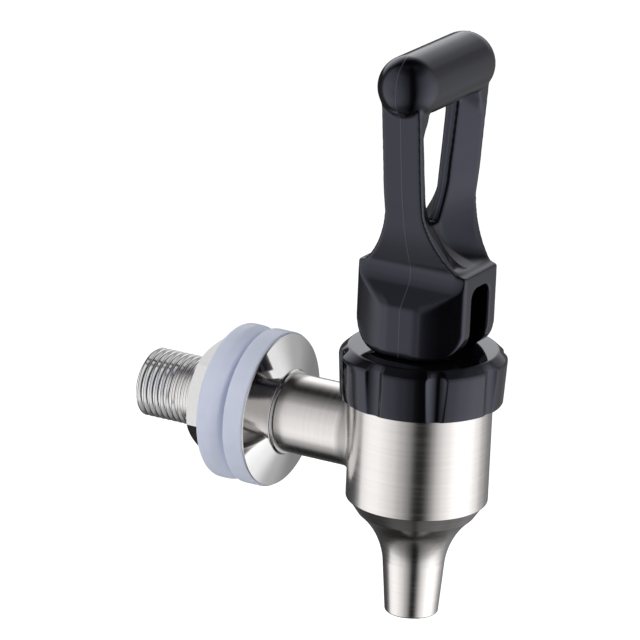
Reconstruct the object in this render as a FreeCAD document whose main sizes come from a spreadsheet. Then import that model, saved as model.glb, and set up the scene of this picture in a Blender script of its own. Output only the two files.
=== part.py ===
import FreeCAD, Part
import math
import os
from types import SimpleNamespace

import Sketcher

# Self-closing beverage tap.
# Row frame, millimetres: +Z up, +Y from the front of the tap towards the tank.
# The origin is on the shank's axis, in the plane where the tank wall meets the front washer.

TOLERANCE = 1e-6
VALLEY_LEG_STEPS = 5

# Driving dimensions, one cell of the sheet each
SIZES = {
    # Shank and side tube, along Y
    "reach": 40.6,
    "shank_radius": 8.0,
    "shank_length": 29.5,
    "shank_chamfer": 0.7,
    "inlet_radius": 5.5,
    "tube_radius": 9.1,
    "tube_root_fillet": 1.6,
    "bore_clearance": 0.08,
    # Washers, flange and nut on the shank
    "washer_radius": 17.9,
    "washer_edge": 0.5,
    "front_washer_thickness": 4.7,
    "rear_washer_thickness": 7.2,
    "rear_washer_bevel_depth": 3.8,
    "rear_washer_bevel_drop": 1.2,
    "flange_radius": 17.5,
    "flange_rim": 0.7,
    "flange_thickness": 3.2,
    "flange_hub_radius": 9.6,
    "flange_hub_height": 1.0,
    "nut_thickness": 5.9,
    "nut_across_flats": 24.0,
    "nut_face_inset": 0.3,
    "nut_bevel_margin": 1.0,
    "nut_turn": 16.6,
    # Barrel and spout
    "barrel_radius": 16.0,
    "barrel_drop": 13.4,
    "barrel_edge": 0.4,
    "barrel_shoulder": 11.5,
    "barrel_rim": 16.5,
    "thread_land_radius": 14.9,
    "chamber_radius": 12.9,
    "chamber_drop": 10.6,
    "seat_height": 3.0,
    "seat_width": 1.5,
    "outlet_radius": 4.8,
    "spout_drop": 40.5,
    "spout_tip_radius": 6.05,
    "spout_neck_radius": 7.05,
    "spout_neck_drop": 28.0,
    "spout_flare_radius": 17.8,
    "spout_cone_radius": 13.2,
    "spout_cone_drop": 16.8,
    "spout_flare_inset": 0.5,
    "spout_lip": 0.45,
    # Bonnet
    "bonnet_bottom": 10.5,
    "bonnet_top": 22.4,
    "bonnet_wall": 2.8,
    "bonnet_taper": 0.6,
    "bonnet_shoulder_width": 2.1,
    "bonnet_shoulder": 1.9,
    "bonnet_shoulder_round": 1.2,
    "bonnet_clearance": 0.1,
    "flute_count": 8,
    "flute_radius": 3.4,
    "flute_depth": 1.15,
    "flute_turn": 3.0,
    # Seat cup
    "cup_rim_thickness": 1.6,
    "cup_rim_radius": 14.5,
    "cup_wall": 1.4,
    "cup_mouth_radius": 11.8,
    "cup_nose_radius": 6.6,
    "cup_nose_height": 5.0,
    # Stem, spring and pin
    "stem_radius": 2.4,
    "stem_head_radius": 3.9,
    "stem_head_thickness": 1.5,
    "stem_head_lift": 1.4,
    "stem_end": 3.0,
    "stem_end_round": 1.0,
    "stem_clearance": 0.1,
    "cup_clearance": 0.15,
    "washer_disc_thickness": 1.0,
    "spring_radius": 4.2,
    "spring_wire_radius": 0.45,
    "spring_turns": 7,
    "spring_pocket_radius": 6.4,
    "spring_pocket_roof": 2.3,
    "pin_radius": 1.2,
    "pin_length": 19.0,
    "pin_clearance": 0.08,
    "pin_end_gap": 0.3,
    # Handle
    "foot_gap": 0.2,
    "pivot_height": 6.4,
    "foot_half_depth": 13.5,
    "foot_corner_radius": 7.0,
    "foot_half_width": 7.8,
    "foot_face_width": 12.2,
    "foot_face_depth": 4.75,
    "foot_face_height": 11.6,
    "foot_facet_height": 23.4,
    "foot_shoulder_height": 19.6,
    "foot_shoulder_ledge": 1.9,
    "foot_shoulder_rise": 0.4,
    "slot_half_width": 4.1,
    "slot_height": 16.2,
    "slot_round": 2.4,
    "waist_half_width": 8.6,
    "waist_height": 16.2,
    "waist_length": 5.2,
    "waist_round": 5.0,
    "leg_bend_half_width": 14.0,
    "leg_bend_height": 40.0,
    "leg_bend_round": 75.0,
    "leg_top_half_width": 16.8,
    "leg_half_depth": 4.8,
    "leg_root_height": 33.5,
    "leg_flare_round": 24.0,
    "flare_foot_half_depth": 10.4,
    "flare_foot_height": 21.3,
    "leg_inner_half_depth": 1.2,
    "leg_edge_width": 1.2,
    "loop_top_half_width": 8.2,
    "loop_top_height": 54.0,
    "loop_mid_half_width": 5.6,
    "loop_mid_height": 38.0,
    "loop_bottom_height": 27.2,
    "loop_bottom_radius": 1.3,
    "loop_side_round": 16.0,
    "valley_round": 24.0,
    "valley_round_foot": 42.0,
    "valley_root_inner": 4.4,
    "valley_low_half_width": 9.4,
    "valley_low_half_depth": 6.9,
    "valley_low_inner_depth": 2.0,
    "scoop_height": 23.4,
    "scoop_half_width": 8.0,
    "scoop_half_depth": 8.9,
    "scoop_inner_depth": 4.8,
    "scoop_end_height": 20.2,
    "scoop_end_half_width": 6.9,
    "scoop_end_half_depth": 12.0,
    "scoop_end_inner_depth": 11.4,
    "bar_height": 62.2,
    "bar_radius": 7.1,
    "bar_half_length": 18.8,
    "bar_end_round": 6.3,
}

ROOT = "Sizes"
document = FreeCAD.newDocument("Spigot")
sheet = document.addObject("Spreadsheet::Sheet", ROOT)


class Size:
    """A length or angle: its formula in the sheet's words and its value."""

    def __init__(self, formula, value):
        self.formula = formula
        self.value = value

    def __add__(self, other):
        return Size(f"({self.formula} + {other.formula})", self.value + other.value)

    def __sub__(self, other):
        return Size(f"({self.formula} - {other.formula})", self.value - other.value)

    def __neg__(self):
        return Size(f"(-{self.formula})", -self.value)

    def __mul__(self, factor):
        return Size(f"({self.formula} * {factor})", self.value * factor)

    def times(self, other):
        """Product of two sizes."""
        return Size(f"({self.formula} * {other.formula})", self.value * other.value)

    def over(self, other):
        """Ratio of two sizes."""
        return Size(f"({self.formula} / {other.formula})", self.value / other.value)

    def root(self):
        """Square root."""
        return Size(f"sqrt({self.formula})", math.sqrt(self.value))


def fill_sheet():
    """Write every driving dimension to the sheet and return them as sizes."""
    sizes = {}
    for row, (name, value) in enumerate(SIZES.items(), start=1):
        sheet.set(f"A{row}", name)
        sheet.set(f"B{row}", str(value))
        sheet.setAlias(f"B{row}", name)
        sizes[name] = Size(f"{ROOT}.{name}", float(value))
    document.recompute()
    return SimpleNamespace(**sizes)


S = fill_sheet()
ZERO = Size("0", 0.0)


def vector(first, second, third=ZERO):
    """A vector from three sizes."""
    return FreeCAD.Vector(first.value, second.value, third.value)


def tie(item, **formulas):
    """Tie properties to the sheet; a double underscore in a name stands for a dot."""
    for name, size in formulas.items():
        item.setExpression(name.replace("__", "."), size.formula)


def new_body(name, place_y=None, place_z=None):
    """A body whose label names its file, set along Y and Z by the sheet."""
    body = document.addObject("PartDesign::Body", name)
    body.Label = name
    if place_y is not None:
        tie(body, Placement__Base__y=place_y)
    if place_z is not None:
        tie(body, Placement__Base__z=place_z)
    return body


def new_sketch(body, name, plane, offset=None):
    """A sketch on one of the body's own planes, moved along its normal by offset."""
    sketch = body.newObject("Sketcher::SketchObject", name)
    planes = {feature.Role: feature for feature in body.Origin.OriginFeatures}
    sketch.AttachmentSupport = [(planes[plane], "")]
    sketch.MapMode = "FlatFace"
    if offset is not None:
        tie(sketch, AttachmentOffset__Base__z=offset)
    return sketch


def hold(sketch, edge, end, corner):
    """Hold one end of an edge at a corner given by two sizes."""
    for kind, size in (("DistanceX", corner[0]), ("DistanceY", corner[1])):
        index = sketch.addConstraint(Sketcher.Constraint(kind, edge, end, size.value))
        sketch.setExpression(f"Constraints[{index}]", size.formula)


def arc_between(start, end, radius):
    """Circle arc from start to end. A positive radius keeps its centre on the left."""
    chord = end - start
    half = chord.Length / 2
    size = abs(radius)
    height = math.sqrt(size**2 - half**2)
    side = FreeCAD.Vector(-chord.y, chord.x, 0).normalize() * math.copysign(height, radius)
    centre = (start + end) * 0.5 + side
    first = math.atan2(start.y - centre.y, start.x - centre.x)
    last = math.atan2(end.y - centre.y, end.x - centre.x)
    circle = Part.Circle(centre, FreeCAD.Vector(0, 0, 1), size)
    if radius > 0:
        return Part.ArcOfCircle(circle, first, last)
    return Part.ArcOfCircle(circle, last, first)


def outline(sketch, corners):
    """Closed outline. A corner is (x, y), or (x, y, radius, side) where an arc leaves it."""
    count = len(corners)
    ends = []
    for index, corner in enumerate(corners):
        start = vector(corner[0], corner[1])
        following = corners[(index + 1) % count]
        end = vector(following[0], following[1])
        if len(corner) == 2:
            edge = sketch.addGeometry(Part.LineSegment(start, end))
            ends.append((edge, 1, 2))
        else:
            radius, side = corner[2], corner[3]
            edge = sketch.addGeometry(arc_between(start, end, side * radius.value))
            ends.append((edge, 1, 2) if side > 0 else (edge, 2, 1))
            row = sketch.addConstraint(Sketcher.Constraint("Radius", edge, radius.value))
            sketch.setExpression(f"Constraints[{row}]", radius.formula)
    for index, (edge, first, last) in enumerate(ends):
        following, start, _ = ends[(index + 1) % count]
        sketch.addConstraint(Sketcher.Constraint("Coincident", edge, last, following, start))
    for (edge, first, last), corner in zip(ends, corners):
        hold(sketch, edge, first, corner)


def round_outline(sketch, centre, radius):
    """A full circle in a sketch."""
    edge = sketch.addGeometry(Part.Circle(vector(*centre), FreeCAD.Vector(0, 0, 1), radius.value))
    row = sketch.addConstraint(Sketcher.Constraint("Radius", edge, radius.value))
    sketch.setExpression(f"Constraints[{row}]", radius.formula)
    hold(sketch, edge, 3, centre)


def turned(body, name, plane, corners, axis="V_Axis", cut=False):
    """Turn an outline about a sketch axis, as material or as a cut."""
    before = body.Shape.Volume if cut else 0
    sketch = new_sketch(body, name + "_outline", plane)
    outline(sketch, corners)
    feature = body.newObject("PartDesign::Groove" if cut else "PartDesign::Revolution", name)
    feature.Profile = sketch
    feature.ReferenceAxis = (sketch, [axis])
    feature.Angle = 360
    document.recompute()
    if cut:
        check_cut(body, name, before)
    return feature


def pad(body, name, sketch, length, symmetric=False, reverse=False, cut=False):
    """Pad or pocket a sketch by a length of the sheet."""
    before = body.Shape.Volume if cut else 0
    feature = body.newObject("PartDesign::Pocket" if cut else "PartDesign::Pad", name)
    feature.Profile = sketch
    feature.SideType = "Symmetric" if symmetric else "One side"
    feature.Reversed = reverse
    tie(feature, Length=length)
    document.recompute()
    if cut:
        check_cut(body, name, before)
    return feature


def check_cut(body, name, before):
    """Stop if a cut took nothing away."""
    if body.Shape.Volume > before - TOLERANCE:
        raise RuntimeError(f"{name} cut nothing")


def edges_where(shape, test):
    """Names of a shape's edges that pass a test."""
    return [f"Edge{index}" for index, edge in enumerate(shape.Edges, start=1) if test(edge)]


def dress(body, name, kind, edges, size):
    """Fillet or chamfer edges of the body's last feature."""
    base = body.Tip
    if not edges:
        raise RuntimeError(f"{name} found no edge")
    feature = body.newObject(f"PartDesign::{kind}", name)
    feature.Base = (base, edges)
    tie(feature, **{"Radius" if kind == "Fillet" else "Size": size})
    document.recompute()
    return feature


def is_circle(edge, radius, centre_test=lambda centre: True):
    """Whether an edge is a circle of this radius whose centre passes a test."""
    curve = edge.Curve
    if not isinstance(curve, Part.Circle):
        return False
    return abs(curve.Radius - radius.value) < 1e-4 and centre_test(curve.Center)


# Heights and places that several pieces share
SEAT_TOP = S.seat_height - S.chamber_drop
CUP_FLOOR = SEAT_TOP + S.cup_nose_height
CLAMP_TOP = S.barrel_rim + S.cup_rim_thickness
HEAD_BOTTOM = SEAT_TOP + S.stem_head_lift
HEAD_TOP = HEAD_BOTTOM + S.stem_head_thickness
SPRING_BOTTOM = CUP_FLOOR + S.washer_disc_thickness
SPRING_TOP = S.bonnet_top - S.spring_pocket_roof
FOOT_BOTTOM = S.bonnet_top + S.foot_gap
PIVOT = FOOT_BOTTOM + S.pivot_height
DISC_RADIUS = S.cup_nose_radius - S.cup_wall - S.cup_clearance
LEAD_RADIUS = S.barrel_radius + S.bonnet_clearance
BONNET_RADIUS = LEAD_RADIUS + S.bonnet_wall
SHANK_BORE = S.shank_radius + S.bore_clearance
STACK_FRONT = -(S.front_washer_thickness + S.flange_thickness)
BARREL_AXIS = -S.reach


def build_valve_body():
    """Barrel with spout, side tube and threaded shank in one piece."""
    body = new_body("valve_body", BARREL_AXIS)
    turned(body, "barrel", "XZ_Plane", [
        (ZERO, -S.spout_drop),
        (S.spout_tip_radius, -S.spout_drop),
        (S.spout_neck_radius, -S.spout_neck_drop, S.spout_flare_radius, -1),
        (S.spout_cone_radius, -S.spout_cone_drop),
        (S.barrel_radius - S.spout_flare_inset, -S.barrel_drop),
        (S.barrel_radius, -S.barrel_drop),
        (S.barrel_radius, S.barrel_shoulder),
        (S.thread_land_radius, S.barrel_shoulder),
        (S.thread_land_radius, S.barrel_rim),
        (ZERO, S.barrel_rim),
    ])
    tube = new_sketch(body, "tube_section", "XZ_Plane")
    round_outline(tube, (ZERO, ZERO), S.tube_radius)
    pad(body, "tube", tube, S.reach + STACK_FRONT, reverse=True)
    shank = new_sketch(body, "shank_section", "XZ_Plane")
    round_outline(shank, (ZERO, ZERO), S.shank_radius)
    pad(body, "shank", shank, S.reach + S.shank_length, reverse=True)
    joint = edges_where(body.Tip.Shape, lambda edge: isinstance(edge.Curve, Part.BSplineCurve))
    dress(body, "tube_root", "Fillet", joint, S.tube_root_fillet)
    turned(body, "chamber", "XZ_Plane", [
        (ZERO, -S.spout_drop),
        (S.outlet_radius, -S.spout_drop),
        (S.outlet_radius, SEAT_TOP),
        (S.outlet_radius + S.seat_width, SEAT_TOP),
        (S.outlet_radius + S.seat_width, -S.chamber_drop),
        (S.chamber_radius, -S.chamber_drop),
        (S.chamber_radius, S.barrel_rim),
        (ZERO, S.barrel_rim),
    ], cut=True)
    inlet = new_sketch(body, "inlet_section", "XZ_Plane")
    round_outline(inlet, (ZERO, ZERO), S.inlet_radius)
    pad(body, "inlet", inlet, S.reach + S.shank_length, cut=True)
    tip = (S.reach + S.shank_length).value
    tip_edge = edges_where(body.Tip.Shape, lambda edge: is_circle(
        edge, S.shank_radius, lambda centre: abs(centre.y - tip) < TOLERANCE))
    dress(body, "shank_tip", "Chamfer", tip_edge, S.shank_chamfer)
    lip = edges_where(body.Tip.Shape, lambda edge: is_circle(
        edge, S.spout_tip_radius, lambda centre: centre.z < 0))
    dress(body, "spout_lip", "Fillet", lip, S.spout_lip)
    rim = edges_where(body.Tip.Shape, lambda edge: is_circle(
        edge, S.barrel_radius, lambda centre: centre.z < 0))
    dress(body, "barrel_rim_round", "Fillet", rim, S.barrel_edge)
    return body


def build_flange():
    """Shallow turned cone between the tube's shoulder and the front washer."""
    body = new_body("flange", STACK_FRONT)
    turned(body, "cone", "YZ_Plane", [
        (ZERO, SHANK_BORE),
        (S.flange_thickness, SHANK_BORE),
        (S.flange_thickness, S.flange_radius),
        (S.flange_thickness - S.flange_rim, S.flange_radius),
        (S.flange_hub_height, S.flange_hub_radius),
        (ZERO, S.flange_hub_radius),
    ], axis="H_Axis")
    return body


def build_front_washer():
    """Plain silicone washer on the outside of the tank wall."""
    body = new_body("front_washer", -S.front_washer_thickness)
    turned(body, "ring", "YZ_Plane", [
        (ZERO, SHANK_BORE),
        (S.front_washer_thickness, SHANK_BORE),
        (S.front_washer_thickness, S.washer_radius),
        (ZERO, S.washer_radius),
    ], axis="H_Axis")
    rim = edges_where(body.Tip.Shape, lambda edge: is_circle(edge, S.washer_radius))
    dress(body, "ring_round", "Fillet", rim, S.washer_edge)
    return body


def build_rear_washer():
    """Silicone washer inside the tank, bevelled towards the wall."""
    body = new_body("rear_washer")
    turned(body, "ring", "YZ_Plane", [
        (ZERO, SHANK_BORE),
        (S.rear_washer_thickness, SHANK_BORE),
        (S.rear_washer_thickness, S.washer_radius),
        (S.rear_washer_bevel_depth, S.washer_radius),
        (ZERO, S.washer_radius - S.rear_washer_bevel_drop),
    ], axis="H_Axis")
    rim = edges_where(body.Tip.Shape, lambda edge: is_circle(edge, S.washer_radius))
    dress(body, "ring_round", "Fillet", rim, S.washer_edge)
    return body


def build_lock_nut():
    """Hexagon nut with both faces bevelled at 30 degrees."""
    body = new_body("lock_nut", S.rear_washer_thickness)
    body.Placement = FreeCAD.Placement(body.Placement.Base, FreeCAD.Rotation(FreeCAD.Vector(0, 1, 0), 0))
    tie(body, Placement__Rotation__Angle=S.nut_turn)
    section = new_sketch(body, "hexagon", "XZ_Plane")
    corner_radius = S.nut_across_flats * (1 / math.sqrt(3))
    corners = []
    for index in range(6):
        angle = math.radians(60 * index + 30)
        corners.append((corner_radius * math.cos(angle), corner_radius * math.sin(angle)))
    outline(section, corners)
    round_outline(section, (ZERO, ZERO), SHANK_BORE)
    pad(body, "hexagon_pad", section, S.nut_thickness, reverse=True)
    outside = corner_radius + S.nut_bevel_margin
    face_radius = S.nut_across_flats * 0.5 - S.nut_face_inset
    slope = (outside - face_radius) * math.tan(math.radians(30))
    turned(body, "front_bevel", "YZ_Plane", [
        (ZERO, face_radius),
        (slope, outside),
        (ZERO, outside),
    ], axis="H_Axis", cut=True)
    turned(body, "back_bevel", "YZ_Plane", [
        (S.nut_thickness, face_radius),
        (S.nut_thickness, outside),
        (S.nut_thickness - slope, outside),
    ], axis="H_Axis", cut=True)
    return body


def build_bonnet():
    """Screwed collar with eight flutes, the stem's guide hole and the spring's pocket."""
    body = new_body("bonnet", BARREL_AXIS)
    tie(body, Placement__Rotation__Angle=S.flute_turn)
    wall_top = S.bonnet_top - S.bonnet_shoulder
    lead_top = S.barrel_shoulder + S.bonnet_clearance
    thread_radius = S.thread_land_radius + S.bonnet_clearance
    turned(body, "collar", "XZ_Plane", [
        (LEAD_RADIUS, S.bonnet_bottom),
        (BONNET_RADIUS - S.bonnet_taper, S.bonnet_bottom),
        (BONNET_RADIUS, wall_top),
        (BONNET_RADIUS - S.bonnet_shoulder_width, S.bonnet_top),
        (S.stem_radius + S.stem_clearance, S.bonnet_top),
        (S.stem_radius + S.stem_clearance, SPRING_TOP),
        (S.spring_pocket_radius, SPRING_TOP),
        (S.spring_pocket_radius, CLAMP_TOP),
        (thread_radius, CLAMP_TOP),
        (thread_radius, lead_top),
        (LEAD_RADIUS, lead_top),
    ])
    wall = edges_where(body.Tip.Shape, lambda edge: is_circle(edge, BONNET_RADIUS))
    dress(body, "shoulder_round", "Fillet", wall, S.bonnet_shoulder_round)
    before = body.Shape.Volume
    section = new_sketch(body, "flute_section", "XY_Plane")
    flute_place = BONNET_RADIUS - S.flute_depth + S.flute_radius
    round_outline(section, (flute_place, ZERO), S.flute_radius)
    flute = pad(body, "flute", section, S.bonnet_top + S.bonnet_top, symmetric=True, cut=True)
    pattern = body.newObject("PartDesign::PolarPattern", "flutes")
    pattern.Originals = [flute]
    pattern.Axis = (section, ["N_Axis"])
    pattern.Angle = 360
    tie(pattern, Occurrences=S.flute_count)
    body.Tip = pattern
    document.recompute()
    one_cut = before - flute.Shape.Volume
    if before - body.Shape.Volume < one_cut * (S.flute_count.value - 0.5):
        raise RuntimeError("flutes are missing")
    return body


def build_seat_cup():
    """Silicone cup: clamped rim, conical wall and a nose that holds the stem's button."""
    body = new_body("seat_cup", BARREL_AXIS)
    hole = S.stem_radius + S.cup_clearance
    pocket = S.stem_head_radius + S.cup_clearance
    turned(body, "cup", "XZ_Plane", [
        (S.cup_rim_radius, S.barrel_rim),
        (S.cup_rim_radius, CLAMP_TOP),
        (S.cup_mouth_radius - S.cup_wall, CLAMP_TOP),
        (S.cup_nose_radius - S.cup_wall, CUP_FLOOR),
        (hole, CUP_FLOOR),
        (hole, HEAD_TOP + S.cup_clearance),
        (pocket, HEAD_TOP + S.cup_clearance),
        (pocket, HEAD_BOTTOM - S.cup_clearance),
        (ZERO, HEAD_BOTTOM - S.cup_clearance),
        (ZERO, SEAT_TOP),
        (S.cup_nose_radius, SEAT_TOP),
        (S.cup_nose_radius, CUP_FLOOR - S.cup_wall),
        (S.cup_mouth_radius, S.barrel_rim),
    ])
    return body


def build_stem():
    """Steel rod with a button below and a cross hole for the pin above."""
    body = new_body("stem", BARREL_AXIS)
    turned(body, "rod", "XZ_Plane", [
        (ZERO, HEAD_BOTTOM),
        (S.stem_head_radius, HEAD_BOTTOM),
        (S.stem_head_radius, HEAD_TOP),
        (S.stem_radius, HEAD_TOP),
        (S.stem_radius, PIVOT + S.stem_end),
        (ZERO, PIVOT + S.stem_end),
    ])
    top = (PIVOT + S.stem_end).value
    end = edges_where(body.Tip.Shape, lambda edge: is_circle(
        edge, S.stem_radius, lambda centre: abs(centre.z - top) < TOLERANCE))
    dress(body, "rod_end", "Fillet", end, S.stem_end_round)
    section = new_sketch(body, "pin_hole_section", "YZ_Plane")
    round_outline(section, (ZERO, PIVOT), S.pin_radius)
    pad(body, "pin_hole", section, S.stem_head_radius + S.stem_head_radius, symmetric=True, cut=True)
    return body


def build_handle_pin():
    """Cross pin through the stem's top."""
    body = new_body("handle_pin", BARREL_AXIS)
    section = new_sketch(body, "pin_section", "YZ_Plane")
    round_outline(section, (ZERO, PIVOT), S.pin_radius)
    pad(body, "pin", section, S.pin_length, symmetric=True)
    return body


def build_spring_washer():
    """Disc under the spring, on the cup's floor."""
    body = new_body("spring_washer", BARREL_AXIS)
    turned(body, "disc", "XZ_Plane", [
        (S.stem_radius + S.stem_clearance, CUP_FLOOR),
        (DISC_RADIUS, CUP_FLOOR),
        (DISC_RADIUS, SPRING_BOTTOM),
        (S.stem_radius + S.stem_clearance, SPRING_BOTTOM),
    ])
    return body


def build_spring():
    """Compression spring between the disc and the bonnet's pocket."""
    body = new_body("spring", BARREL_AXIS)
    section = new_sketch(body, "wire_section", "XZ_Plane")
    round_outline(section, (S.spring_radius, SPRING_BOTTOM + S.spring_wire_radius), S.spring_wire_radius)
    coil = body.newObject("PartDesign::AdditiveHelix", "coil")
    coil.Profile = section
    coil.ReferenceAxis = (section, ["V_Axis"])
    coil.Mode = "height-turns-angle"
    tie(coil, Height=SPRING_TOP - SPRING_BOTTOM - S.spring_wire_radius * 2, Turns=S.spring_turns)
    document.recompute()
    return body


def mirrored_outline(corners):
    """Right-hand corners, bottom to top, closed by their mirror image across X = 0."""
    left = []
    for index in range(len(corners) - 1, -1, -1):
        x, z = corners[index][:2]
        arc = corners[index - 1][2:] if index else ()
        left.append((-x, z) + tuple(arc))
    return list(corners) + left


def build_handle():
    """Moulded handle: slotted foot with cam corners, two legs round a loop, and a cross bar."""
    body = new_body("handle", BARREL_AXIS, FOOT_BOTTOM)
    width = S.leg_top_half_width + S.leg_top_half_width
    depth = S.foot_half_depth + S.foot_half_depth
    side = new_sketch(body, "side_outline", "YZ_Plane")
    outline(side, mirrored_outline([
        (S.foot_half_depth - S.foot_corner_radius, ZERO, S.foot_corner_radius, 1),
        (S.foot_half_depth, S.foot_corner_radius),
        (S.foot_half_depth, S.foot_shoulder_height),
        (S.foot_half_depth - S.foot_shoulder_ledge, S.foot_shoulder_height + S.foot_shoulder_rise),
        (S.flare_foot_half_depth, S.flare_foot_height, S.leg_flare_round, -1),
        (S.leg_half_depth, S.leg_root_height),
        (S.leg_half_depth, S.bar_height),
    ]))
    pad(body, "side", side, width, symmetric=True)
    front = new_sketch(body, "front_waste", "XZ_Plane")
    for sign in (1, -1):
        waste = [
            (S.foot_face_width, -S.foot_gap),
            (S.foot_face_width + S.foot_face_width, -S.foot_gap),
            (S.foot_face_width + S.foot_face_width, S.bar_height),
            (S.leg_top_half_width, S.bar_height),
            (S.leg_bend_half_width, S.leg_bend_height, S.leg_bend_round, -1),
            (S.waist_half_width, S.waist_height + S.waist_length, S.waist_round, 1),
            (S.waist_half_width, S.waist_height),
            (S.foot_face_width, S.foot_face_height),
        ]
        if sign < 0:
            waste = [(-corner[0], *corner[1:3], *(-item for item in corner[3:])) for corner in waste]
        outline(front, waste)
    pad(body, "front", front, depth + depth, symmetric=True, cut=True)
    cut_foot_corners(body)
    cut_loop(body)
    cut_valleys(body)
    cut_slot(body)
    add_bar(body)
    return body


def cut_foot_corners(body):
    """Slanted facets from the foot's flat front and back strips to its narrow sides."""
    section = new_sketch(body, "foot_corner_section", "XY_Plane")
    outside_x = S.foot_face_width + S.foot_face_width
    outside_y = S.foot_half_depth + S.foot_half_depth
    for across, along in ((1, 1), (-1, 1), (-1, -1), (1, -1)):
        outline(section, [
            (S.foot_face_width * across, S.foot_face_depth * along),
            (outside_x * across, S.foot_face_depth * along),
            (outside_x * across, outside_y * along),
            (S.foot_half_width * across, outside_y * along),
            (S.foot_half_width * across, S.foot_half_depth * along),
        ])
    pad(body, "foot_corners", section, S.foot_facet_height, reverse=True, cut=True)


def cut_loop(body):
    """Finger opening between the legs: a narrow round bottom that widens towards the bar."""
    section = new_sketch(body, "loop_section", "XZ_Plane")
    outline(section, mirrored_outline([
        (S.loop_bottom_radius, S.loop_bottom_height + S.loop_bottom_radius, S.loop_side_round, 1),
        (S.loop_mid_half_width, S.loop_mid_height),
        (S.loop_top_half_width, S.loop_top_height),
        (S.loop_top_half_width, S.bar_height),
    ]))
    pad(body, "loop", section, S.foot_half_depth * 4, symmetric=True, cut=True)


def leg_edge_at(height):
    """Half width to the leg's outer wall at a height, on the leg's straight line."""
    share = (height - S.leg_bend_height).over(S.bar_height - S.leg_bend_height)
    return S.leg_bend_half_width + (S.leg_top_half_width - S.leg_bend_half_width).times(share) \
        - S.leg_edge_width


def strip_depth_at(height):
    """Half depth of the leg's inner strip, which grows on an arc towards the bar."""
    rise = height - S.valley_round_foot
    if rise.value <= 0:
        return S.leg_inner_half_depth
    level = (S.valley_round.times(S.valley_round) - rise.times(rise)).root()
    return S.leg_inner_half_depth + S.valley_round - level


def cut_valleys(body):
    """Slanted inner sides of the legs, running out in a scoop above the foot's shoulder."""
    stations = []
    for step in range(VALLEY_LEG_STEPS + 1):
        share = step / VALLEY_LEG_STEPS
        height = S.loop_top_height * (1 - share) + S.leg_root_height * share
        inner = S.loop_top_half_width * (1 - share) + S.valley_root_inner * share
        stations.append((height, leg_edge_at(height), S.leg_half_depth, inner, strip_depth_at(height)))
    stations += [
        (S.loop_bottom_height, S.valley_low_half_width, S.valley_low_half_depth,
         S.loop_bottom_radius, S.valley_low_inner_depth),
        (S.scoop_height, S.scoop_half_width, S.scoop_half_depth,
         S.loop_bottom_radius, S.scoop_inner_depth),
        (S.scoop_end_height, S.scoop_end_half_width, S.scoop_end_half_depth,
         S.loop_bottom_radius, S.scoop_end_inner_depth),
    ]
    for sign, side in ((-1, "front"), (1, "back")):
        cut_valley(body, f"{side}_valley", stations, sign)


def cut_valley(body, name, stations, sign):
    """Loft one valley through stations of height, edge (x, y) and inner strip (x, y)."""
    before = body.Shape.Volume
    far = S.foot_half_depth * 2
    sketches = []
    for index, (height, edge_x, edge_y, inner_x, inner_y) in enumerate(stations):
        sketch = new_sketch(body, f"{name}_{index}", "XY_Plane", height)
        outline(sketch, [
            (-edge_x, far * sign),
            (-edge_x, edge_y * sign),
            (-inner_x, inner_y * sign),
            (inner_x, inner_y * sign),
            (edge_x, edge_y * sign),
            (edge_x, far * sign),
        ])
        sketches.append(sketch)
    loft = body.newObject("PartDesign::SubtractiveLoft", name)
    loft.Profile = sketches[0]
    loft.Sections = sketches[1:]
    document.recompute()
    check_cut(body, name, before)


def cut_slot(body):
    """Slot that lets the stem through as the foot rocks, and blind bores for the pin."""
    section = new_sketch(body, "slot_section", "XZ_Plane")
    outline(section, mirrored_outline([
        (S.slot_half_width, -S.foot_gap),
        (S.slot_half_width, S.slot_height - S.slot_round, S.slot_round, 1),
        (S.slot_half_width - S.slot_round, S.slot_height),
    ]))
    pad(body, "slot", section, S.foot_half_depth * 4, symmetric=True, cut=True)
    bore = new_sketch(body, "pin_bore_section", "YZ_Plane")
    round_outline(bore, (ZERO, S.pivot_height), S.pin_radius + S.pin_clearance)
    pad(body, "pin_bore", bore, S.pin_length + S.pin_end_gap * 2, symmetric=True, cut=True)


def add_bar(body):
    """Cross bar with domed ends, turned about its own axis."""
    dome_start = S.bar_half_length - S.bar_end_round
    cap_radius = S.bar_radius - S.bar_end_round
    section = new_sketch(body, "bar_section", "XZ_Plane")
    tie(section, AttachmentOffset__Base__y=S.bar_height)
    outline(section, [
        (-S.bar_half_length, ZERO),
        (S.bar_half_length, ZERO),
        (S.bar_half_length, cap_radius, S.bar_end_round, 1),
        (dome_start, S.bar_radius),
        (-dome_start, S.bar_radius, S.bar_end_round, 1),
        (-S.bar_half_length, cap_radius),
    ])
    bar = body.newObject("PartDesign::Revolution", "bar")
    bar.Profile = section
    bar.ReferenceAxis = (section, ["H_Axis"])
    bar.Angle = 360
    document.recompute()


PIECES = [
    build_valve_body(),
    build_flange(),
    build_front_washer(),
    build_rear_washer(),
    build_lock_nut(),
    build_bonnet(),
    build_seat_cup(),
    build_stem(),
    build_handle_pin(),
    build_spring_washer(),
    build_spring(),
    build_handle(),
]
document.recompute()

for item in document.Objects:
    if "Invalid" in item.State or "Error" in item.State:
        raise RuntimeError(f"{item.Name} is {item.State}")
for piece in PIECES:
    if piece.Shape.isNull() or not piece.Shape.isValid():
        raise RuntimeError(f"{piece.Label} has no valid shape")

os.makedirs("parts", exist_ok=True)
for piece in PIECES:
    piece.Shape.exportStep(f"parts/{piece.Label}.step")
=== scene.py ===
import math

import bmesh
import bpy
from mathutils import Matrix, Vector


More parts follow.
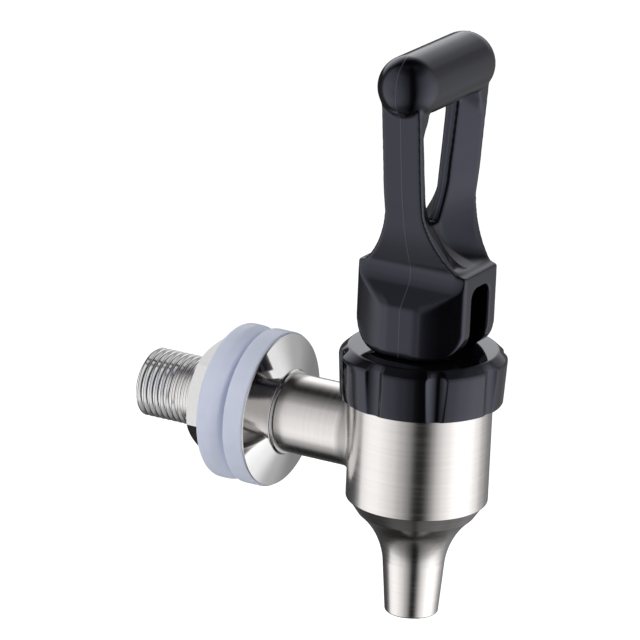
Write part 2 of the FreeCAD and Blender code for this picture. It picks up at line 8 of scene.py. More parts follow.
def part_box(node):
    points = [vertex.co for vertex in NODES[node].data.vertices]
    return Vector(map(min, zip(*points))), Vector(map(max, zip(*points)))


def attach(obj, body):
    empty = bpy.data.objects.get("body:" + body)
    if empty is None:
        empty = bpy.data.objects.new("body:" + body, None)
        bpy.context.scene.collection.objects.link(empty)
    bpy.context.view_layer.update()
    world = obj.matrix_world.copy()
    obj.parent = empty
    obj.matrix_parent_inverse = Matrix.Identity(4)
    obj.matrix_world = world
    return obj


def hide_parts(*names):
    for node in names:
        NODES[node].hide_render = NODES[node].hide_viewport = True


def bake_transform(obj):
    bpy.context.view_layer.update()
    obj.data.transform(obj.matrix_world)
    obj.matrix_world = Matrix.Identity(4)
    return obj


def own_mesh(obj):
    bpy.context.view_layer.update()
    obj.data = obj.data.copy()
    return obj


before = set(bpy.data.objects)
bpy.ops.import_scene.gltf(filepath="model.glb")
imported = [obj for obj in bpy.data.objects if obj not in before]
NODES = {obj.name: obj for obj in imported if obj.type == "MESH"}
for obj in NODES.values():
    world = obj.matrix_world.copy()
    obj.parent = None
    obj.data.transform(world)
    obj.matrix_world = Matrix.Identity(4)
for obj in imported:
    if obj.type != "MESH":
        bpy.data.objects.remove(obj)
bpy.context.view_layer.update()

# Self-closing beverage tap. Metres in the row frame: +Z up, +Y from the front of the tap to the tank.

MM = 0.001

# ---------------------------------------------------------------- sizes
BONNET_LOW, BONNET_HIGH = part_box("bonnet")
FLANGE_LOW, FLANGE_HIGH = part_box("flange")
FRONT_LOW, FRONT_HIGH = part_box("front_washer")
REAR_LOW, REAR_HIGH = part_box("rear_washer")
HANDLE_LOW, HANDLE_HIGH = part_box("handle")
BARREL_Y = (BONNET_LOW.y + BONNET_HIGH.y) / 2
HANDLE_X = (HANDLE_LOW.x + HANDLE_HIGH.x) / 2
SHANK_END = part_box("valve_body")[1].y
SHANK_RADIUS = 8.0 * MM
RING_BORE = SHANK_RADIUS + 0.08 * MM
THREAD_PITCH = 1.5 * MM
THREAD_DEPTH = 0.80 * MM
THREAD_ROOT = SHANK_RADIUS - THREAD_DEPTH


# ---------------------------------------------------------------- materials
class Nodes:
    """A node tree with short calls. A value is an output socket or a constant."""

    def __init__(self, owner):
        owner.use_nodes = True
        self.tree = owner.node_tree
        self.tree.nodes.clear()
        self.place = self.add("ShaderNodeTexCoord").outputs

    def give(self, node, inputs):
        """Link or set inputs, each by its name or index."""
        for key, value in inputs.items():
            if isinstance(value, bpy.types.NodeSocket):
                self.tree.links.new(value, node.inputs[key])
            else:
                node.inputs[key].default_value = value

    def add(self, kind, inputs=None, **settings):
        """A node with some settings, its inputs given as by give."""
        node = self.tree.nodes.new(kind)
        for key, value in settings.items():
            setattr(node, key, value)
        self.give(node, inputs or {})
        return node

    def math(self, operation, *values):
        return self.add("ShaderNodeMath", dict(enumerate(values)), operation=operation).outputs[0]

    def product(self, first, *others):
        for other in others:
            first = self.math("MULTIPLY", first, other)
        return first

    def span(self, value, low, high, start, end, kind="LINEAR"):
        """Map a value from start..end to low..high."""
        inputs = {"Value": value, "From Min": start, "From Max": end, "To Min": low, "To Max": high}
        return self.add("ShaderNodeMapRange", inputs, interpolation_type=kind).outputs["Result"]

    def mix(self, factor, first, second):
        """Number that runs from the first to the second by a factor."""
        return self.add("ShaderNodeMix", {0: factor, 2: first, 3: second}, data_type="FLOAT").outputs[0]

    def ramp(self, value, stops):
        """Grey level by a value, from stops of (place, level)."""
        node = self.add("ShaderNodeValToRGB", {"Fac": value})
        ramp = node.color_ramp
        ramp.interpolation = "EASE"
        while len(ramp.elements) > 1:
            ramp.elements.remove(ramp.elements[-1])
        for index, (spot, level) in enumerate(stops):
            stop = ramp.elements[0] if index == 0 else ramp.elements.new(spot)
            stop.position = spot
            stop.color = (level, level, level, 1)
        return node.outputs["Color"]


class Surface(Nodes):
    """A material with one shader."""

    def __init__(self, name):
        self.material = bpy.data.materials.new(name)
        super().__init__(self.material)
        self.shader = self.add("ShaderNodeBsdfPrincipled")
        self.add("ShaderNodeOutputMaterial", {"Surface": self.shader.outputs["BSDF"]})

    def shade(self, inputs):
        self.give(self.shader, inputs)

    def axes(self):
        """The place's X, Y and Z."""
        return self.add("ShaderNodeSeparateXYZ", {"Vector": self.place["Object"]}).outputs

    def stretched(self, scale):
        """The place, scaled by axis."""
        inputs = {"Vector": self.place["Object"], "Scale": scale}
        return self.add("ShaderNodeMapping", inputs).outputs["Vector"]

    def noise(self, scale, detail, roughness, where=None):
        """Noise over the place, or over another vector."""
        inputs = {"Vector": where or self.place["Object"], "Scale": scale, "Detail": detail,
                  "Roughness": roughness}
        return self.add("ShaderNodeTexNoise", inputs).outputs["Fac"]

    def colour(self, factor, first, second):
        """Colour that runs from the first to the second by a factor; the first may be a socket."""
        if not isinstance(first, bpy.types.NodeSocket):
            first = (*first, 1)
        return self.add("ShaderNodeMix", {0: factor, 6: first, 7: (*second, 1)}, data_type="RGBA").outputs[2]

    def bump(self, height, strength, distance):
        node = self.add("ShaderNodeBump", {"Height": height, "Strength": strength, "Distance": distance})
        self.shade({"Normal": node.outputs["Normal"]})


# The part of a noise's range, and of the brushing's, that holds nearly all of its values
NOISE_RANGE = (0.3, 0.7)
BRUSH_RANGE = (0.36, 0.64)


def brushed_steel():
    """Fine brushing round the barrel and round the tube behind it, with the dull weld between them."""
    n = Surface("brushed_body_steel")
    y = n.axes()["Y"]
    tube_start = BARREL_Y + 15.5 * MM
    on_tube = n.span(y, 0.0, 1.0, tube_start, tube_start + 1.0 * MM)

    def brushing(wide, close, detail, roughness):
        """Noise drawn out round the barrel's axis, or on the tube round the tube's."""
        barrel = n.noise(1.0, detail, roughness, n.stretched((wide, wide, close)))
        tube = n.noise(1.0, detail, roughness, n.stretched((wide, close, wide)))
        return n.mix(on_tube, barrel, tube)

    both = n.math("ADD", brushing(55.0, 5200.0, 4.0, 0.65), brushing(30.0, 1700.0, 2.0, 0.5))
    lines = n.math("MULTIPLY", both, 0.5)
    streaks = n.span(lines, 0.0, 1.0, *BRUSH_RANGE)
    steel = n.colour(streaks, (0.735, 0.702, 0.676), (0.805, 0.768, 0.740))
    weld_start = n.span(y, 0.0, 1.0, BARREL_Y + 12.2 * MM, BARREL_Y + 14.0 * MM)
    weld_end = n.span(y, 1.0, 0.0, BARREL_Y + 15.6 * MM, BARREL_Y + 17.0 * MM)
    weld = n.product(weld_start, weld_end)
    rough = n.span(lines, 0.15, 0.24, *BRUSH_RANGE)
    n.shade({
        "Metallic": 1.0,
        "Base Color": n.colour(weld, steel, (0.47, 0.45, 0.43)),
        "Roughness": n.math("ADD", rough, n.product(weld, 0.14)),
    })
    n.bump(lines, 0.14, 0.02 * MM)
    return n.material


def polished_steel():
    """Bright turned metal with faint concentric rings and light smears."""
    n = Surface("polished_flange_steel")
    place = n.axes()
    squares = [n.product(place[axis], place[axis]) for axis in ("X", "Z")]
    radius = n.math("SQRT", n.math("ADD", *squares))
    by_radius = n.add("ShaderNodeCombineXYZ", {"X": radius}).outputs["Vector"]
    rings = n.noise(3000.0, 3.0, 0.5, by_radius)
    smears = n.noise(180.0, 3.0, 0.6)
    n.shade({
        "Metallic": 1.0,
        "Base Color": n.colour(smears, (0.70, 0.69, 0.68), (0.80, 0.79, 0.78)),
        "Roughness": n.span(rings, 0.03, 0.08, *NOISE_RANGE),
    })
    n.bump(rings, 0.04, 0.02 * MM)
    return n.material


def machined_steel(name, low, high, rough_low, rough_high):
    """Machined steel with a small-scale unevenness."""
    n = Surface(name)
    grain = n.noise(900.0, 4.0, 0.6)
    n.shade({
        "Metallic": 1.0,
        "Base Color": n.colour(grain, low, high),
        "Roughness": n.span(grain, rough_low, rough_high, *NOISE_RANGE),
    })
    n.bump(grain, 0.12, 0.04 * MM)
    return n.material


def cloudy_silicone():
    """Cloudy bluish silicone rubber that lets some light through."""
    n = Surface("cloudy_silicone")
    cloud = n.noise(260.0, 3.0, 0.5)
    fine = n.noise(2500.0, 2.0, 0.5)
    n.shade({
        "Base Color": n.colour(cloud, (0.66, 0.705, 0.84), (0.73, 0.77, 0.91)),
        "Roughness": n.span(fine, 0.34, 0.48, *NOISE_RANGE),
        "IOR": 1.41,
        "Specular IOR Level": 0.4,
        "Subsurface Weight": 0.2,
        "Subsurface Radius": (0.8, 0.9, 1.0),
        "Subsurface Scale": 3 * MM,
    })
    n.bump(fine, 0.05, 0.03 * MM)
    return n.material


def black_plastic(name, low, high, rough_low, rough_high, wave, line=None):
    """Moulded black plastic, slightly wavy and very finely grained, with a painted highlight along the
    parting line at a Y.
    """
    n = Surface(name)
    slow = n.noise(120.0, 2.0, 0.4)
    fine = n.noise(4200.0, 2.0, 0.5)
    colour = n.colour(slow, low, high)
    if line is not None:
        # Painted highlight: a paler colour along the parting line stands in for the light its ridge catches.
        off = n.math("ABSOLUTE", n.math("SUBTRACT", n.axes()["Y"], line))
        parting_highlight = n.span(off, 1.0, 0.0, 0.08 * MM, 0.18 * MM)
        colour = n.colour(parting_highlight, colour, (0.030, 0.031, 0.040))
    n.shade({
        "Base Color": colour,
        "Roughness": n.span(slow, rough_low, rough_high, *NOISE_RANGE),
        "IOR": 1.60,
        "Specular Tint": (0.78, 0.79, 1.0, 1),
    })
    n.bump(n.math("ADD", slow, n.product(fine, 0.04)), wave, 0.25 * MM)
    return n.material


BRUSHED = brushed_steel()
POLISHED = polished_steel()
THREAD = machined_steel("thread_steel", (0.84, 0.825, 0.815), (0.94, 0.93, 0.92), 0.10, 0.18)
NUT = machined_steel("nut_turned_steel", (0.76, 0.75, 0.74), (0.88, 0.87, 0.86), 0.14, 0.24)
INNER = machined_steel("inner_part_steel", (0.62, 0.62, 0.61), (0.74, 0.74, 0.73), 0.2, 0.32)
SILICONE = cloudy_silicone()
BONNET = black_plastic("gloss_bonnet_plastic", (0.0012, 0.0012, 0.0016), (0.0022, 0.0022, 0.0028),
                       0.06, 0.11, 0.015)
HANDLE = black_plastic("satin_handle_plastic", (0.0012, 0.0012, 0.0018), (0.0022, 0.0022, 0.0032),
                       0.11, 0.16, 0.02, BARREL_Y)


# ---------------------------------------------------------------- objects and meshes
def add_object(name, data, material=None):
    """An object of the scene, in one material if one is given."""
    if material:
        data.materials.clear()
        data.materials.append(material)
    piece = bpy.data.objects.new(name, data)
    bpy.context.scene.collection.objects.link(piece)
    return piece


def place(name, mesh, material, body, slot, node=None, sharp=35.0):
    """A piece from a mesh, smooth but for its sharp edges, riding on a body."""
    mesh.shade_smooth()
    mesh.set_sharp_from_angle(angle=math.radians(sharp))
    piece = add_object(name, mesh, material)
    even = piece.modifiers.new("even_normals", "WEIGHTED_NORMAL")
    even.keep_sharp = True
    even.weight = 60
    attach(piece, body)
    if node:
        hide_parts(node)


def copy_node(node, name, material):
    """A piece that takes a node's place as a copy of its mesh, to be changed in shape."""
    mesh = NODES[node].data.copy()
    mesh.name = name
    piece = add_object(name, mesh, material)
    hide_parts(node)
    return piece


def from_bmesh(name, bm):
    """A mesh from a bmesh, with its faces turned outwards."""
    bmesh.ops.recalc_face_normals(bm, faces=bm.faces[:])
    mesh = bpy.data.meshes.new(name)
    bm.to_mesh(mesh)
    bm.free()
    return mesh


def fillet(corners, steps):
    """Round an outline: a corner is (r, a) or (r, a, radius). Returns plain points, closed."""
    points = []
    count = len(corners)
    for index, corner in enumerate(corners):
        here = Vector(corner[:2])
        if len(corner) == 2:
            points.append(here)
            continue
        before = (Vector(corners[index - 1][:2]) - here).normalized()
        after = (Vector(corners[(index + 1) % count][:2]) - here).normalized()
        half = before.angle(after) / 2
        reach = corner[2] / math.tan(half)
        centre = here + (before + after).normalized() * (corner[2] / math.sin(half))
        start, end = here + before * reach - centre, here + after * reach - centre
        sweep = start.angle_signed(end)
        for step in range(steps + 1):
            points.append(centre + Matrix.Rotation(-sweep * step / steps, 2) @ start)
    return points


def join_rings(bm, rings):
    """Faces from each closed ring of vertices to the next, and from the last to the first."""
    for index, here in enumerate(rings):
        following = rings[(index + 1) % len(rings)]
        for k in range(len(here)):
            m = (k + 1) % len(here)
            bm.faces.new((here[k], following[k], following[m], here[m]))


def turned_ring(name, corners, start, segments, material, body, slot, node):
    """A ring in a node's place, its outline of (radius, along) turned round the shank's axis."""
    points = fillet(corners, 5)
    origin = Vector((0, start, 0))
    bm = bmesh.new()
    rings = []
    for index in range(segments):
        angle = 2 * math.pi * index / segments
        cos, sin = math.cos(angle), math.sin(angle)
        rings.append([bm.verts.new(Vector((radius * cos, along, radius * sin)) + origin)
                      for radius, along in points])
    join_rings(bm, rings)
    bmesh.ops.remove_doubles(bm, verts=bm.verts[:], dist=1e-7)
    place(name, from_bmesh(name, bm), material, body, slot, node)


# ---------------------------------------------------------------- steel body, flange and washers
def build_body_shell():
    """Barrel, spout and tube from the frame's own surface, its shank drawn in to carry the thread."""
    piece = copy_node("valve_body", "barrel_and_tube", BRUSHED)
    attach(piece, "body")
    outside = 6.5 * MM
    shank_start = FLANGE_LOW.y + 0.5 * MM
    core = (THREAD_ROOT - 0.12 * MM) / SHANK_RADIUS
    for vertex in piece.data.vertices:
        if vertex.co.y > shank_start and math.hypot(vertex.co.x, vertex.co.z) > outside:
            vertex.co.x *= core
            vertex.co.z *= core


# One turn of the thread, as (share of the pitch, share of the depth)
THREAD_FORM = [(0.0, 0.0), (0.06, 0.06), (0.34, 0.90), (0.40, 0.98), (0.46, 1.0), (0.54, 1.0),
               (0.60, 0.98), (0.66, 0.90), (0.94, 0.06)]


def build_thread():
    """The shank's thread as a true helix, from the plane of the tank wall to the chamfered tip."""
    around = 96
    chamfer = 0.75 * MM
    tip_root = THREAD_ROOT - 0.05 * MM
    end_root = THREAD_ROOT - 0.1 * MM
    turns = int(SHANK_END / THREAD_PITCH) + 2
    bm = bmesh.new()
    grid = []
    for i in range(around * turns + 1):
        angle = 2 * math.pi * i / around
        row = []
        for share, height in THREAD_FORM:
            along = (i / around + share) * THREAD_PITCH - THREAD_PITCH
            tip = SHANK_RADIUS - chamfer + (SHANK_END - along)
            radius = min(SHANK_RADIUS - THREAD_DEPTH * (1 - height), max(tip, tip_root))
            if not 0.0 <= along <= SHANK_END:
                along, radius = min(max(along, 0.0), SHANK_END), end_root
            row.append(bm.verts.new((radius * math.cos(angle), along, radius * math.sin(angle))))
        grid.append(row)
    for i in range(around * (turns - 1)):
        for k in range(len(THREAD_FORM)):
            turn, m = divmod(k + 1, len(THREAD_FORM))
            j = i + around * turn
            bm.faces.new((grid[i][k], grid[i + 1][k], grid[j + 1][m], grid[j][m]))
    bmesh.ops.dissolve_degenerate(bm, dist=1e-8, edges=bm.edges[:])
    place("shank_thread", from_bmesh("shank_thread", bm), THREAD, "body", "brushed_body", sharp=50)


def build_flange():
    """Polished cone with its hub ring."""
    thick = FLANGE_HIGH.y - FLANGE_LOW.y
    outer = FLANGE_HIGH.x
    turned_ring("flange_cone", [
        (RING_BORE, 0.0),
        (RING_BORE, thick),
        (outer, thick, 0.15 * MM),
        (outer, thick - 0.38 * MM, 0.12 * MM),
        (9.75 * MM, 0.75 * MM, 0.5 * MM),
        (9.6 * MM, 0.0, 0.15 * MM),
    ], FLANGE_LOW.y, 256, POLISHED, "body", "polished_steel", "flange")


def build_washers():
    """The two silicone washers with their rounded rims."""
    outer = FRONT_HIGH.x
    thick = FRONT_HIGH.y - FRONT_LOW.y
    turned_ring("outer_washer", [
        (RING_BORE, 0.0),
        (RING_BORE, thick),
        (outer, thick, 0.15 * MM),
        (outer, 0.0, 0.5 * MM),
    ], FRONT_LOW.y, 224, SILICONE, "body", "silicone", "front_washer")
    thick = REAR_HIGH.y - REAR_LOW.y
    turned_ring("inner_washer", [
        (RING_BORE, 0.0),
        (RING_BORE, thick),
        (outer, thick, 1.0 * MM),
        (outer, 3.9 * MM, 2.6 * MM),
        (outer - 1.0 * MM, 1.6 * MM, 2.0 * MM),
        (outer - 3.2 * MM, 0.0, 0.25 * MM),
    ], REAR_LOW.y, 224, SILICONE, "rear_washer", "silicone", "rear_washer")


# ---------------------------------------------------------------- bonnet
BONNET_RADIUS = 18.85 * MM
BONNET_SEGMENTS = 720
FLUTE_RADIUS = 3.4 * MM
FLUTE_DEPTH = 1.15 * MM
FLUTE_TURN = math.radians(-7.5)
FLUTE_STEP = math.pi / 4
FLUTE_BLEND = 0.25 * MM


def flute_limit(angle):
    """Radius that the nearest flute leaves at an angle, or None between the flutes."""
    centre = BONNET_RADIUS - FLUTE_DEPTH + FLUTE_RADIUS
    off = (angle - FLUTE_TURN + FLUTE_STEP / 2) % FLUTE_STEP - FLUTE_STEP / 2
    across = centre * math.sin(off)
    if abs(across) >= FLUTE_RADIUS:
        return None
    return centre * math.cos(off) - math.sqrt(FLUTE_RADIUS ** 2 - across ** 2)


def soft_min(first, second, blend):
    """Smaller of two lengths, rounded where they meet."""
    share = max(blend - abs(first - second), 0.0) / blend
    return min(first, second) - share * share * blend / 4


def bonnet_outline():
    """The bonnet's section as (radius, height), its side and its top in short steps."""
    base, top = BONNET_LOW.z, BONNET_HIGH.z
    stem_hole, pocket, cup_room, skirt = 2.5 * MM, 6.4 * MM, 15.0 * MM, 16.1 * MM
    pocket_top = top - 2.3 * MM
    clamp = base + 7.6 * MM
    skirt_top = base + 1.1 * MM
    points = fillet([
        (skirt, base),
        (BONNET_RADIUS - 0.6 * MM, base, 0.25 * MM),
        (BONNET_RADIUS, top - 1.9 * MM, 1.3 * MM),
        (BONNET_RADIUS - 2.1 * MM, top, 0.8 * MM),
        (stem_hole, top, 0.2 * MM),
        (stem_hole, pocket_top),
        (pocket, pocket_top),
        (pocket, clamp),
        (cup_room, clamp),
        (cup_room, skirt_top),
        (skirt, skirt_top),
    ], 6)
    outline = []
    for index, point in enumerate(points):
        following = points[(index + 1) % len(points)]
        steps = 1
        if min(point.x, following.x) > 17.5 * MM and (following - point).length > 3 * MM:
            steps = 6
        elif max(abs(point.y - top), abs(following.y - top)) < 1e-9 and point.x > 10 * MM:
            steps = 5
        outline.append(point)
        outline += [point.lerp(following, step / steps) for step in range(1, steps)]
    return outline


def build_bonnet():
    """Collar with eight rounded flutes, a rolled shoulder and the stem's hole."""
    fluted_from = 15.9 * MM
    outline = bonnet_outline()
    bm = bmesh.new()
    rings = []
    for index in range(BONNET_SEGMENTS):
        angle = 2 * math.pi * index / BONNET_SEGMENTS
        limit = flute_limit(angle)
        ring = []
        for radius, along in outline:
            if limit is not None and radius > fluted_from:
                radius = soft_min(radius, limit, FLUTE_BLEND)
            ring.append(bm.verts.new((radius * math.cos(angle), radius * math.sin(angle) + BARREL_Y, along)))
        rings.append(ring)
    join_rings(bm, rings)
    place("fluted_bonnet", from_bmesh("fluted_bonnet", bm), BONNET, "body", "bonnet_plastic", "bonnet",
          sharp=40)


# ---------------------------------------------------------------- handle
FIRST_VOXEL = 0.30 * MM
SECOND_VOXEL = 0.31 * MM
PARTING_HALF = 0.20 * MM
PARTING_RISE = 0.06 * MM

# The web beside the loop's opening, in millimetres up from the foot and out from the middle. An edge is
# (height, distance from the middle, slope).
BAR_HEIGHT = 62.2
BAR_CLEAR = 7.2
WEB_LOW, WEB_HIGH = 42.0, 57.0
WEB_REACH = 15.3
OPENING_EDGE = (38.0, 5.6, 0.1625)
OUTER_STRIP = (40.0, 12.7, 0.126)
# Half its thickness, at the opening and what the outer strip adds to that
WEB_HALF = (1.42, 3.33)
# What the foot of the bar adds to it, in the same two numbers, and how far from the bar's axis that
# starts to fade and has faded
BAR_FOOT = (0.5, 2.5)
BAR_FOOT_START = 7.1
BAR_FOOT_END = (8.6, 4.5)

# The foot's four slanted facets, in millimetres from the middle
FACET_TOP = 23.0
FACET_MIDDLE = (10.0, 9.125)
FACET_NORMAL = (0.894, 0.449)
FACET_HALF = 4.9
FACET_FADE = 7.0
FACET_NEAR, FACET_FAR = 0.1, 1.2
FACET_DROP = 0.25


def ease(value, start, end):
    """From 0 at start to 1 at end, eased at both."""
    t = min(max((value - start) / (end - start), 0.0), 1.0)
    return t * t * (3 - 2 * t)


def edge_at(edge, height):
    """Distance from the middle of an edge at a height."""
    base, distance, slope = edge
    return distance + (height - base) * slope


def grown(pair, share):
    """The first number plus a share of the second."""
    return pair[0] + pair[1] * share


def thin_web(bm):
    """Carry the legs' hollows up to the bar, so that the web beside the opening stays thin."""
    moved = []
    for vertex in bm.verts:
        height = (vertex.co.z - HANDLE_LOW.z) / MM
        across = abs(vertex.co.x - HANDLE_X) / MM
        depth = (vertex.co.y - BARREL_Y) / MM
        from_bar = math.hypot(depth, height - BAR_HEIGHT)
        if not WEB_LOW < height < WEB_HIGH or across > WEB_REACH or from_bar < BAR_CLEAR:
            continue
        inner = edge_at(OPENING_EDGE, height)
        strip = edge_at(OUTER_STRIP, height)
        share = min(max((across - inner) / (strip - inner), 0.0), 1.0)
        faded = ease(from_bar, BAR_FOOT_START, grown(BAR_FOOT_END, share))
        limit = grown(WEB_HALF, share) + grown(BAR_FOOT, share) * (1 - faded)
        if abs(depth) > limit:
            vertex.co.y = BARREL_Y + math.copysign(limit, depth) * MM
            moved.append(vertex)
    for step in range(3):
        bmesh.ops.smooth_vert(bm, verts=moved, factor=0.5, use_axis_x=True, use_axis_y=True,
                              use_axis_z=True)


def crown_facets(bm):
    """Let the foot's slanted facets fall away from their middles, which breaks up their reflections."""
    nx, ny = FACET_NORMAL
    for vertex in bm.verts:
        if (vertex.co.z - HANDLE_LOW.z) / MM > FACET_TOP:
            continue
        side_x = math.copysign(1, vertex.co.x - HANDLE_X)
        side_y = math.copysign(1, vertex.co.y - BARREL_Y)
        x = abs(vertex.co.x - HANDLE_X) / MM - FACET_MIDDLE[0]
        y = abs(vertex.co.y - BARREL_Y) / MM - FACET_MIDDLE[1]
        off = abs(nx * x + ny * y)
        along = abs(nx * y - ny * x)
        if along > FACET_FADE or off > FACET_FAR:
            continue
        fall = min(along / FACET_HALF, 1.0) ** 2
        fall *= (1 - ease(along, FACET_HALF, FACET_FADE)) * (1 - ease(off, FACET_NEAR, FACET_FAR))
        drop = FACET_DROP * fall * MM
        vertex.co.x -= side_x * nx * drop
        vertex.co.y -= side_y * ny * drop


def raise_parting(bm):
    """A fine ridge in the moulding's middle plane, on the handle's outside and top."""
    for offset in (-PARTING_HALF, 0.0, PARTING_HALF):
        everything = bm.verts[:] + bm.edges[:] + bm.faces[:]
        bmesh.ops.bisect_plane(bm, geom=everything, dist=1e-8, plane_co=(0, BARREL_Y + offset, 0),
                               plane_no=(0, 1, 0))
    bm.normal_update()
    for vertex in bm.verts:
        aside = vertex.co.x - HANDLE_X
        outside = vertex.normal.x * aside > 0.4 * abs(aside)
        on_top = vertex.normal.z > 0.6 and vertex.co.z > HANDLE_HIGH.z - 4 * MM
        on_parting = abs(vertex.co.y - BARREL_Y) < 1e-7 and vertex.co.z > HANDLE_LOW.z + 6 * MM
        if on_parting and (outside or on_top):
            vertex.co += vertex.normal * PARTING_RISE


def keep_in_box(bm):
    """Hold the handle within its own box, across and up."""
    for vertex in bm.verts:
        for k in (0, 2):
            vertex.co[k] = min(max(vertex.co[k], HANDLE_LOW[k]), HANDLE_HIGH[k])


def even_mesh(mesh, size, rounds, *changes):
    """The same solid in even small faces, softened by rounds of smoothing and then changed."""
    piece = add_object("even_mesh", mesh)
    remesh = piece.modifiers.new("remesh", "REMESH")
    remesh.mode = "VOXEL"
    remesh.voxel_size = size
    smooth = piece.modifiers.new("smooth", "SMOOTH")
    smooth.factor = 0.5
    smooth.iterations = rounds
    dg = bpy.context.evaluated_depsgraph_get()
    made = bpy.data.meshes.new_from_object(piece.evaluated_get(dg))
    bpy.data.objects.remove(piece)
    bm = bmesh.new()
    bm.from_mesh(made)
    for change in changes:
        change(bm)
    bm.to_mesh(made)
    bm.free()
    return made


def build_handle():
    """The moulding with softened edges, from the frame's own solid, and its parting line."""
    mesh = even_mesh(NODES["handle"].data.copy(), FIRST_VOXEL, 1, thin_web)
    mesh = even_mesh(mesh, SECOND_VOXEL, 5, crown_facets, raise_parting, keep_in_box)
    place("loop_handle", mesh, HANDLE, "handle", "handle_plastic", "handle", sharp=60)


def build_spring():
    """The spring as a copy of its own mesh, riding on the body."""
    piece = copy_node("spring", "coil_spring", INNER)
    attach(piece, "body")
    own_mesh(piece)


def build_cup():
    """The cup as a copy of its own mesh, its place baked into the mesh."""
    piece = copy_node("seat_cup", "valve_cup", SILICONE)
    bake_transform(piece)


def dress_nodes():
    """The nodes that keep their own shape: the nut, its edges broken, and steel parts inside."""
    edges = NODES["lock_nut"].modifiers.new("broken_edges", "BEVEL")
    edges.width = 0.16 * MM
    edges.segments = 2
    edges.limit_method = "ANGLE"
    edges.angle_limit = math.radians(25)
    edges.harden_normals = True
    for node, material in (("lock_nut", NUT), ("stem", INNER), ("spring_washer", INNER),
                           ("handle_pin", INNER)):
        for slot in NODES[node].material_slots:
            slot.material = material


build_spring()
build_cup()
build_body_shell()
build_thread()
build_flange()
build_washers()
build_bonnet()
build_handle()
dress_nodes()


# ---------------------------------------------------------------- stage, light and camera
CAMERA_TURN = math.radians(-61.20)
CAMERA_RISE = math.radians(18.21)
CAMERA_ROLL = math.radians(2.38)
# In millimetres: back from the barrel's axis, to the right of it and up
CAMERA_BACK = 1100
CAMERA_ASIDE = -22.19
CAMERA_LIFT = 26.99
CAMERA_LENS = 276.83


def direction(turn, rise):
    """Unit vector towards an azimuth and height; azimuth 0 is towards -Y."""
    return Vector((math.sin(turn) * math.cos(rise), -math.cos(turn) * math.cos(rise), math.sin(rise)))


def add_camera():
    """The photograph's viewpoint."""
    back = direction(CAMERA_TURN, CAMERA_RISE)
    level = Vector((math.cos(CAMERA_TURN), math.sin(CAMERA_TURN), 0))
    upright = back.cross(level)
    right = level * math.cos(CAMERA_ROLL) + upright * math.sin(CAMERA_ROLL)
    up = upright * math.cos(CAMERA_ROLL) - level * math.sin(CAMERA_ROLL)
    spot = (back * CAMERA_BACK + right * CAMERA_ASIDE + up * CAMERA_LIFT) * MM + Vector((0, BARREL_Y, 0))
    data = bpy.data.cameras.new("camera")
    data.sensor_fit = "HORIZONTAL"
    data.sensor_width = 36.0
    data.lens = CAMERA_LENS
    data.clip_start = 0.05
    data.clip_end = 20
    camera = add_object("camera", data)
    camera.matrix_world = Matrix((
        (right.x, up.x, back.x, spot.x),
        (right.y, up.y, back.y, spot.y),
        (right.z, up.z, back.z, spot.z),
        (0, 0, 0, 1)))
    bpy.context.scene.camera = camera


# Light round the object by the angle from the camera, to the right positive, in degrees
STUDIO = [
    (-180, 0.10), (-150, 0.06), (-124, 0.10), (-112, 0.32), (-102, 1.08), (-84, 1.24), (-70, 1.24),
    (-58, 1.08), (-45, 0.88), (-28, 0.53), (-16, 0.30), (-8, 0.07), (-3, 0.02), (7, 0.02), (14, 0.12),
    (21, 0.36), (31, 0.74), (42, 1.05), (60, 1.42), (78, 1.58), (92, 1.42), (106, 1.08), (124, 0.53),
    (144, 0.27), (180, 0.10),
]
STUDIO_TOP = 1.6
# The same by height, as the sine of the angle above the horizon
HEIGHTS = [
    (-1.0, 0.10), (-0.9, 0.22), (-0.82, 0.40), (-0.68, 0.88), (-0.5, 1.06), (-0.25, 1.0), (0.0, 0.95),
    (0.3, 0.78), (0.56, 0.62), (0.77, 0.26), (0.88, 0.10), (1.0, 0.08),
]
HEIGHTS_TOP = 1.1
# The white wall behind the object by the first angle, and the sines between which it starts and ends
WALL = [(-180, 1.0), (-150, 1.0), (-115, 0.0), (116, 0.0), (138, 0.36), (162, 0.62), (180, 1.0)]
WALL_LEVEL = 1.5
WALL_FOOT = (0.02, 0.18)
WALL_HEAD = (0.90, 0.45)


def by_turn(stops, top=1.0):
    """Ramp stops for levels given by an angle in degrees."""
    return [((degrees + 180) / 360, level / top) for degrees, level in stops]


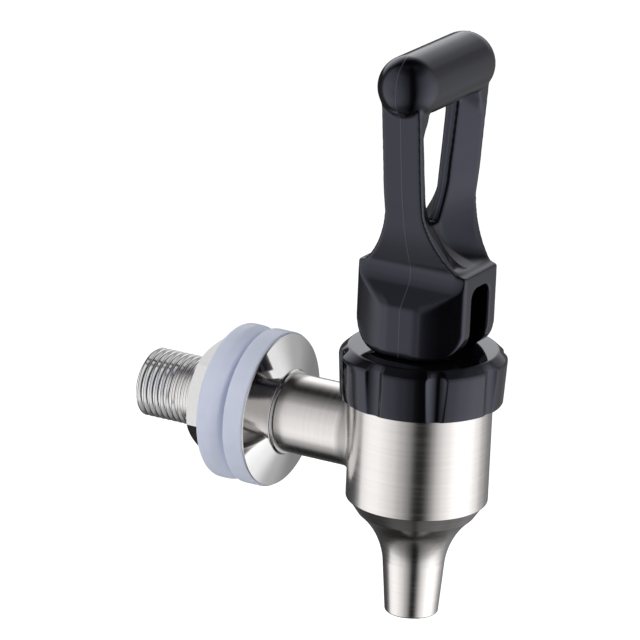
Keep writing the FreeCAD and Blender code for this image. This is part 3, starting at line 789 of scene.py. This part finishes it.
def add_world():
    """White to the camera; round the object a studio of soft panels with a dark gap by the camera."""
    world = bpy.data.worlds.new("studio")
    bpy.context.scene.world = world
    n = Nodes(world)

    def toward(vector):
        """How far a ray points along a unit vector."""
        inputs = {0: n.place["Generated"], 1: vector}
        return n.add("ShaderNodeVectorMath", inputs, operation="DOT_PRODUCT").outputs["Value"]

    aside = toward((math.cos(CAMERA_TURN), math.sin(CAMERA_TURN), 0))
    angle = n.math("ARCTAN2", aside, toward(direction(CAMERA_TURN, 0)))
    turn = n.span(angle, 0.0, 1.0, -math.pi, math.pi)
    height = toward((0, 0, 1))
    rise = n.span(height, 0.0, 1.0, -1.0, 1.0)
    heights = [((sine + 1) / 2, level / HEIGHTS_TOP) for sine, level in HEIGHTS]
    studio = n.product(n.ramp(turn, by_turn(STUDIO, STUDIO_TOP)), n.ramp(rise, heights),
                       STUDIO_TOP * HEIGHTS_TOP)
    above = n.span(height, 0.0, 1.0, *WALL_FOOT, "SMOOTHSTEP")
    below = n.span(height, 0.0, 1.0, *WALL_HEAD, "SMOOTHSTEP")
    wall = n.product(n.ramp(turn, by_turn(WALL)), above, below, WALL_LEVEL)
    strength = n.math("MAXIMUM", studio, wall)
    panels = n.add("ShaderNodeBackground", {"Color": (0.975, 0.98, 1.0, 1), "Strength": strength})
    backdrop = n.add("ShaderNodeBackground", {"Color": (1, 1, 1, 1)})
    rays = n.add("ShaderNodeLightPath").outputs
    seen = n.math("MAXIMUM", rays["Is Camera Ray"], rays["Is Transmission Ray"])
    mixer = n.add("ShaderNodeMixShader", {0: seen, 1: panels.outputs[0], 2: backdrop.outputs[0]})
    n.add("ShaderNodeOutputWorld", {"Surface": mixer.outputs[0]})


def add_panel(name, turn, rise, distance, size, power):
    """A soft square lamp aimed at the object, at angles from the camera in degrees."""
    data = bpy.data.lights.new(name, "AREA")
    data.shape = "RECTANGLE"
    data.size = size
    data.size_y = size
    data.energy = power
    lamp = add_object(name, data)
    aim = Vector((0, BARREL_Y * 0.5, 0.02))
    away = direction(CAMERA_TURN + math.radians(turn), math.radians(rise))
    lamp.location = aim + away * distance
    lamp.rotation_mode = "QUATERNION"
    lamp.rotation_quaternion = (-away).to_track_quat("-Z", "Y")
    lamp.visible_glossy = False


FLOOR_LEVEL = -0.16
FLOOR_HALF = 6.0
FLOOR_GLOW = 0.60


def add_floor():
    """Pale floor well below the tap, seen white where no shadow falls."""
    n = Surface("pale_floor")
    speck = n.noise(40.0, 2.0, 0.5)
    rays = n.add("ShaderNodeLightPath").outputs
    n.shade({
        "Base Color": n.colour(speck, (0.89, 0.89, 0.89), (0.91, 0.91, 0.91)),
        "Roughness": 0.9,
        "Specular IOR Level": 0.0,
        "Emission Color": (1, 1, 1, 1),
        "Emission Strength": n.product(rays["Is Camera Ray"], FLOOR_GLOW),
    })
    mesh = bpy.data.meshes.new("floor")
    corners = [(x * FLOOR_HALF, y * FLOOR_HALF, 0) for x, y in ((-1, -1), (1, -1), (1, 1), (-1, 1))]
    mesh.from_pydata(corners, [], [(0, 1, 2, 3)])
    floor = add_object("floor", mesh, n.material)
    floor.location.z = FLOOR_LEVEL
    floor.visible_glossy = False


add_camera()
add_world()
add_panel("key_panel", turn=55, rise=40, distance=0.9, size=0.6, power=4.0)
add_panel("fill_panel", turn=-70, rise=35, distance=1.0, size=0.7, power=3.0)
add_floor()
bpy.context.scene.view_settings.view_transform = "Standard"
